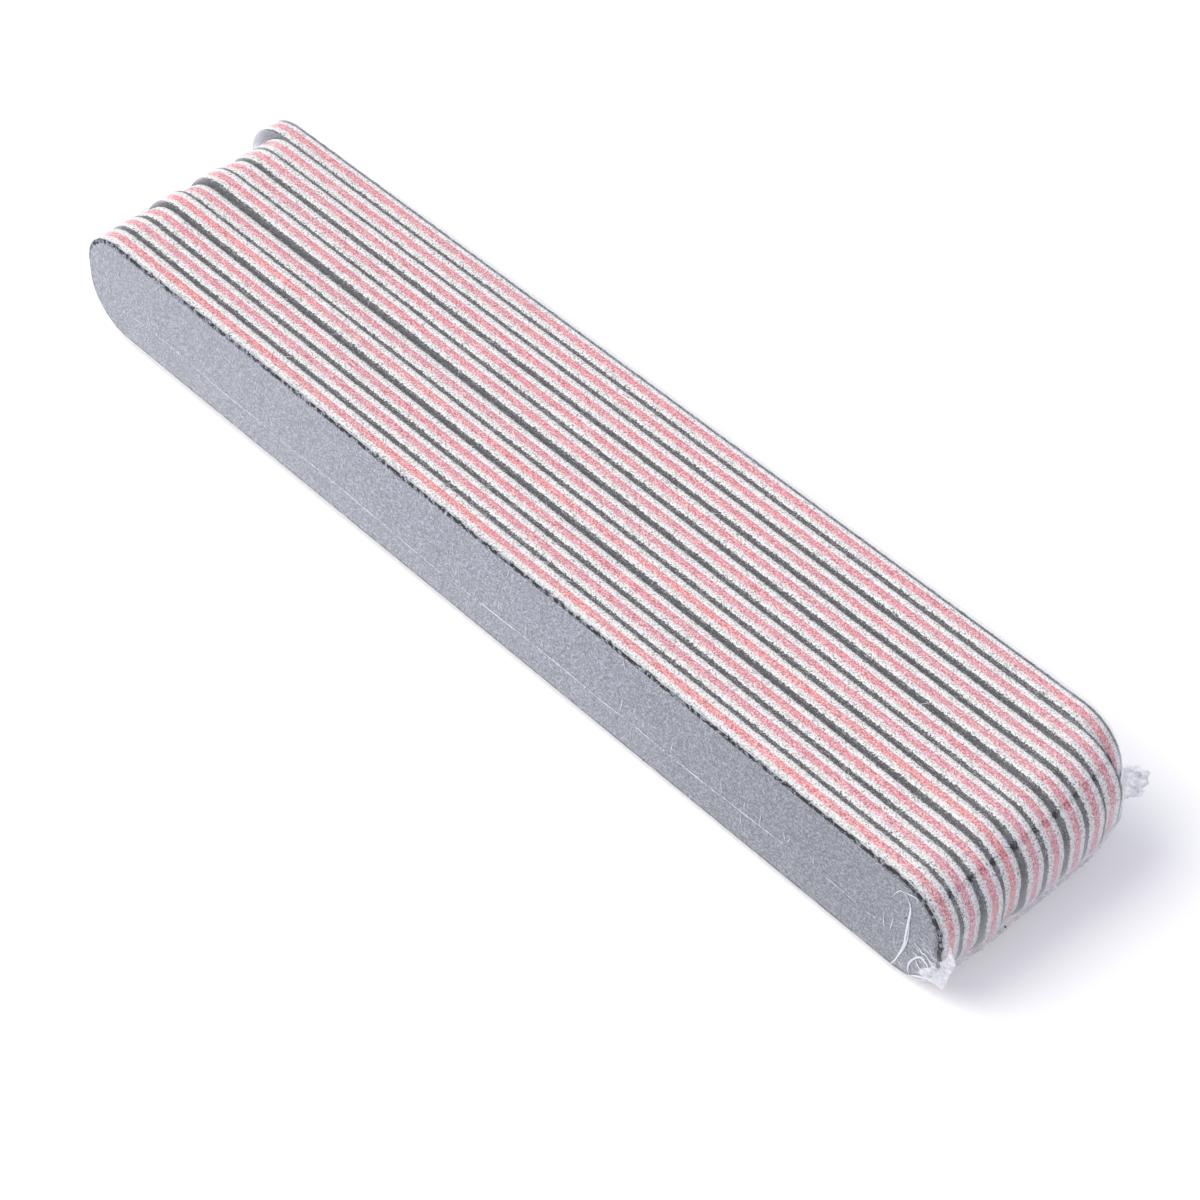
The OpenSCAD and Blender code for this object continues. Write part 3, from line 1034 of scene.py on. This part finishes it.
def makeLooseCreases(rng):
    paths = [(width, [dropOnTop(x, y) for x, y in spots]) for width, spots in topFolds]
    paths += looseCreases(rng, scatter["top"], fromTop, acrossTop)
    paths += looseCreases(rng, scatter["end"], fromEnd, uprightWay)
    finishPiece("looseCreases", strandCurve("looseCurve", paths), creasedFilm, [])


creaseDraws = random.Random(11)
makeFrontCreases(creaseDraws)
makeLooseCreases(creaseDraws)
makeCrumbs()


# tails: loose ends of film, torn and crumpled, with outlines of x and z in millimetres

tails = {
    "front": {
        "outline": (
            (-0.9, 3.9), (0.3, 4.0), (1.3, 4.0), (2.2, 3.8), (2.8, 3.15), (3.3, 4.6), (3.6, 7.0), (3.9, 8.1),
            (4.25, 9.6), (4.05, 10.5), (3.5, 11.9), (3.1, 13.1), (3.0, 11.5), (2.9, 9.9), (2.5, 9.3),
            (2.0, 8.6), (1.5, 7.8), (0.8, 6.6), (-0.3, 5.6),
        ),
        "rootX": 87.5,
        "start": 1.1 * mm,  # from here on the tail crumples, and bends back behind the front plane
        "bend": 0.34,
        "crumple": 0.20,
        "before": 0.08,  # how far it stands before the film
    },
    "back": {
        "outline": (
            (84.6, 8.0), (85.4, 7.2), (86.4, 7.7), (87.3, 7.3), (88.0, 8.3), (87.7, 9.4), (88.4, 10.3),
            (88.0, 11.6), (88.3, 12.6), (87.4, 13.1), (86.6, 14.0), (85.9, 13.6), (85.0, 14.2), (84.6, 13.0),
        ),
        "start": 84.6 * mm,
        "turn": math.radians(50),
        "crumple": 0.35,
    },
    "grid": 0.28 * mm,
    "crumpleSize": 1.3 * mm,
    "loosening": 1.2 * mm,  # over this length a tail goes from flat to crumpled
    "sharpFolds": 2.2,
    "softFolds": 0.5,
    "softFiner": 2.7,  # how much finer the soft folds are than the sharp ones
    "sideways": 0.12 * mm,
    "sidewaysFiner": 1.9,
    "sheet": 0.05 * mm,
}


def tornSheet(shape):  # flat sheet with a torn outline, cut into a fine grid
    bm = bmesh.new()
    bm.faces.new([bm.verts.new((x * mm, 0, z * mm)) for x, z in shape["outline"]])
    for axis in (0, 2):
        span = [v.co[axis] for v in bm.verts]
        cutAcross(bm, axis, min(span), max(span), tails["grid"])
    bmesh.ops.triangulate(bm, faces=[f for f in bm.faces if len(f.verts) > 4])
    for vert in bm.verts:
        loose = clamp((vert.co.x - shape["start"]) / tails["loosening"])
        at = vert.co / tails["crumpleSize"]
        sharp = abs(noise.noise(at)) * tails["sharpFolds"] - 0.5
        soft = tails["softFolds"] * noise.noise(at * tails["softFiner"])
        vert.co.y += shape["crumple"] * mm * (sharp + soft) * loose
        side = noise.noise(at * tails["sidewaysFiner"] + Vector((0, 5, 0)))
        vert.co.x += tails["sideways"] * loose * side
    return bm


def finishTail(name, bm, move):
    bmesh.ops.translate(bm, vec=move, verts=bm.verts)
    bmesh.ops.recalc_face_normals(bm, faces=bm.faces)
    finishPiece(name, bm, tailFilm, [])


def makeFrontTail():
    shape = tails["front"]
    bm = tornSheet(shape)
    for vert in bm.verts:
        vert.co.y += shape["bend"] * max(0.0, vert.co.x - shape["start"])
    bmesh.ops.solidify(bm, geom=bm.faces[:], thickness=tails["sheet"])
    finishTail("frontTail", bm, (shape["rootX"] * mm, (frontFilmY - shape["before"]) * mm, 0))


def makeBackTail():
    shape = tails["back"]
    bm = tornSheet(shape)
    bmesh.ops.solidify(bm, geom=bm.faces[:], thickness=tails["sheet"])
    pivot = Vector((shape["start"], 0, 0))
    bmesh.ops.rotate(bm, cent=pivot, matrix=Matrix.Rotation(shape["turn"], 3, "Z"), verts=bm.verts)
    lastEnd = places[stack["boards"]][0].x + stack["length"] / 2
    finishTail("backTail", bm, (lastEnd - pivot.x, stack["backY"], 0))


makeFrontTail()
makeBackTail()
filmBody.free()
print("stage: creases, long seal and tails made")


# stage, light and camera

studio = {
    "floorColour": (0.80, 0.80, 0.80, 1),
    "floorRoughness": 0.9,
    "floorLift": 0.28,  # what the floor adds for the eye alone, so that it reads as white
    "floorSize": 6.0,
    "worldColour": (0.83, 0.83, 1.0, 1),
    "worldStrength": 0.60,
    "gap": (0.42, 0.60, 0.04),  # rise of the dark gap in the tent's near side: low edge, high edge, softness
    "gapSide": (0.25, 0.5),  # how far towards +X a ray goes before it can meet the gap
    "gapColour": (0.06, 0.06, 0.07, 1),
    "nearPanel": (1.35, 1.35, 1.45, 1),
    "panelSide": (0.2, 0.5),
    "keyColour": (1.0, 0.99, 0.93),
    "keyStrength": 2.6,
    "keyAngle": math.radians(50),
    "keyTurn": (math.radians(42), 0, math.radians(-50)),
}


def eyeRays(tree):  # 1 for what the eye sees directly or in gloss or glass
    rays = newNode(tree, "ShaderNodeLightPath").outputs
    seen = doMath(tree, "ADD", rays["Is Camera Ray"], rays["Is Glossy Ray"])
    return doMath(tree, "MINIMUM", doMath(tree, "ADD", seen, rays["Is Transmission Ray"]), 1.0)


def makeFloor():
    material, tree, shader = startMaterial("floorPaper")
    shader.inputs["Base Color"].default_value = studio["floorColour"]
    shader.inputs["Roughness"].default_value = studio["floorRoughness"]
    shader.inputs["Specular IOR Level"].default_value = 0.0
    shader.inputs["Emission Color"].default_value = (1, 1, 1, 1)
    lift = doMath(tree, "MULTIPLY", eyeRays(tree), studio["floorLift"])
    tree.links.new(lift, shader.inputs["Emission Strength"])
    bm = bmesh.new()
    bmesh.ops.create_grid(bm, x_segments=1, y_segments=1, size=studio["floorSize"] / 2)
    mesh = meshFrom("floorSheet", bm)
    mesh.materials.append(material)
    floor = addObject("floorSheet", mesh)


def makeWorld():
    world = bpy.data.worlds.new("whiteTent")
    bpy.context.scene.world = world
    world.use_nodes = True
    tree = world.node_tree
    background = tree.nodes["Background"]
    seen = eyeRays(tree)
    towards = splitPoint(tree, newNode(tree, "ShaderNodeTexCoord").outputs["Generated"])
    low, high, soft = studio["gap"]
    gap = between(tree, towards[2], low - soft, low + soft, high - soft, high + soft)
    gap = doMath(tree, "MULTIPLY", gap, ramp(tree, towards[0], *studio["gapSide"]))
    bright = mixColour(tree, ramp(tree, towards[0], *studio["panelSide"]), (1, 1, 1, 1), studio["nearPanel"])
    around = mixColour(tree, gap, bright, studio["gapColour"])
    tree.links.new(mixColour(tree, seen, studio["worldColour"], around), background.inputs["Color"])
    tree.links.new(ramp(tree, seen, 0.0, 1.0, studio["worldStrength"], 1.0), background.inputs["Strength"])


def makeKey():
    lamp = bpy.data.lights.new("keyTent", "SUN")
    lamp.energy = studio["keyStrength"]
    lamp.angle = studio["keyAngle"]
    lamp.color = studio["keyColour"]
    addObject("keyTent", lamp).rotation_euler = studio["keyTurn"]


eye = {
    "azimuth": math.radians(46.195),
    "elevation": math.radians(47.707),
    "roll": math.radians(0.776),
    "lens": 107.47,
    "sensor": 36.0,
    "distance": 514.53 * mm,
    "aim": Vector((0, 0, 10 * mm)),
    "slideRight": 2.434 * mm,
    "slideUp": -13.175 * mm,
}


def makeCamera():
    a, e, roll = eye["azimuth"], eye["elevation"], eye["roll"]
    back = Vector((math.sin(a) * math.cos(e), -math.cos(a) * math.cos(e), math.sin(e)))
    level = Vector((math.cos(a), math.sin(a), 0))
    upright = back.cross(level)
    right = level * math.cos(roll) + upright * math.sin(roll)
    up = upright * math.cos(roll) - level * math.sin(roll)
    spot = eye["aim"] + back * eye["distance"] + right * eye["slideRight"] + up * eye["slideUp"]
    lens = bpy.data.cameras.new("photoLens")
    lens.lens = eye["lens"]
    lens.sensor_width = eye["sensor"]
    lens.clip_start = 0.01
    camera = addObject("photoLens", lens)
    camera.matrix_world = Matrix.Translation(spot) @ Matrix((right, up, back)).transposed().to_4x4()
    bpy.context.scene.camera = camera


makeFloor()
makeWorld()
makeKey()
makeCamera()
bpy.context.scene.view_settings.view_transform = "Standard"
print("stage: floor, light and camera made")
